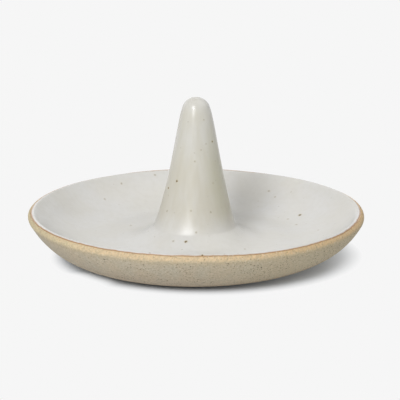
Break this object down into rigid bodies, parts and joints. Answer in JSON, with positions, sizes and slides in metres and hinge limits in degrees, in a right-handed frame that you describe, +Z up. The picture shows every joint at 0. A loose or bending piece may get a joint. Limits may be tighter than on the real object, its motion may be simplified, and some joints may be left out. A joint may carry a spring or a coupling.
{
  "type": "ring cone",
  "caption": "Round stoneware trinket dish with a tapered, round-tipped cone for finger rings at its centre, white satin glaze inside and bare clay outside.",
  "frame": {"origin": "centre of the foot ring on the table plane", "axes": "+Z up along the cone's axis; X and Y are free, since every piece is turned about Z"},
  "size_m": [0.12, 0.12, 0.0575],
  "materials": {
    "bare_stoneware": "bare fired stoneware, fine speckle, toasted at the lip",
    "cone_stoneware": "bare fired stoneware, hidden under the glaze",
    "luting_slip": "fired joining clay, hidden under the glaze",
    "white_satin_glaze": "satin white glaze with sparse brown iron specks"
  },
  "bodies": {
    "root": {"dish": "bare_stoneware", "cone": "cone_stoneware", "luting_coil": "luting_slip", "glaze_coat": "white_satin_glaze"}
  },
  "joints": []
}
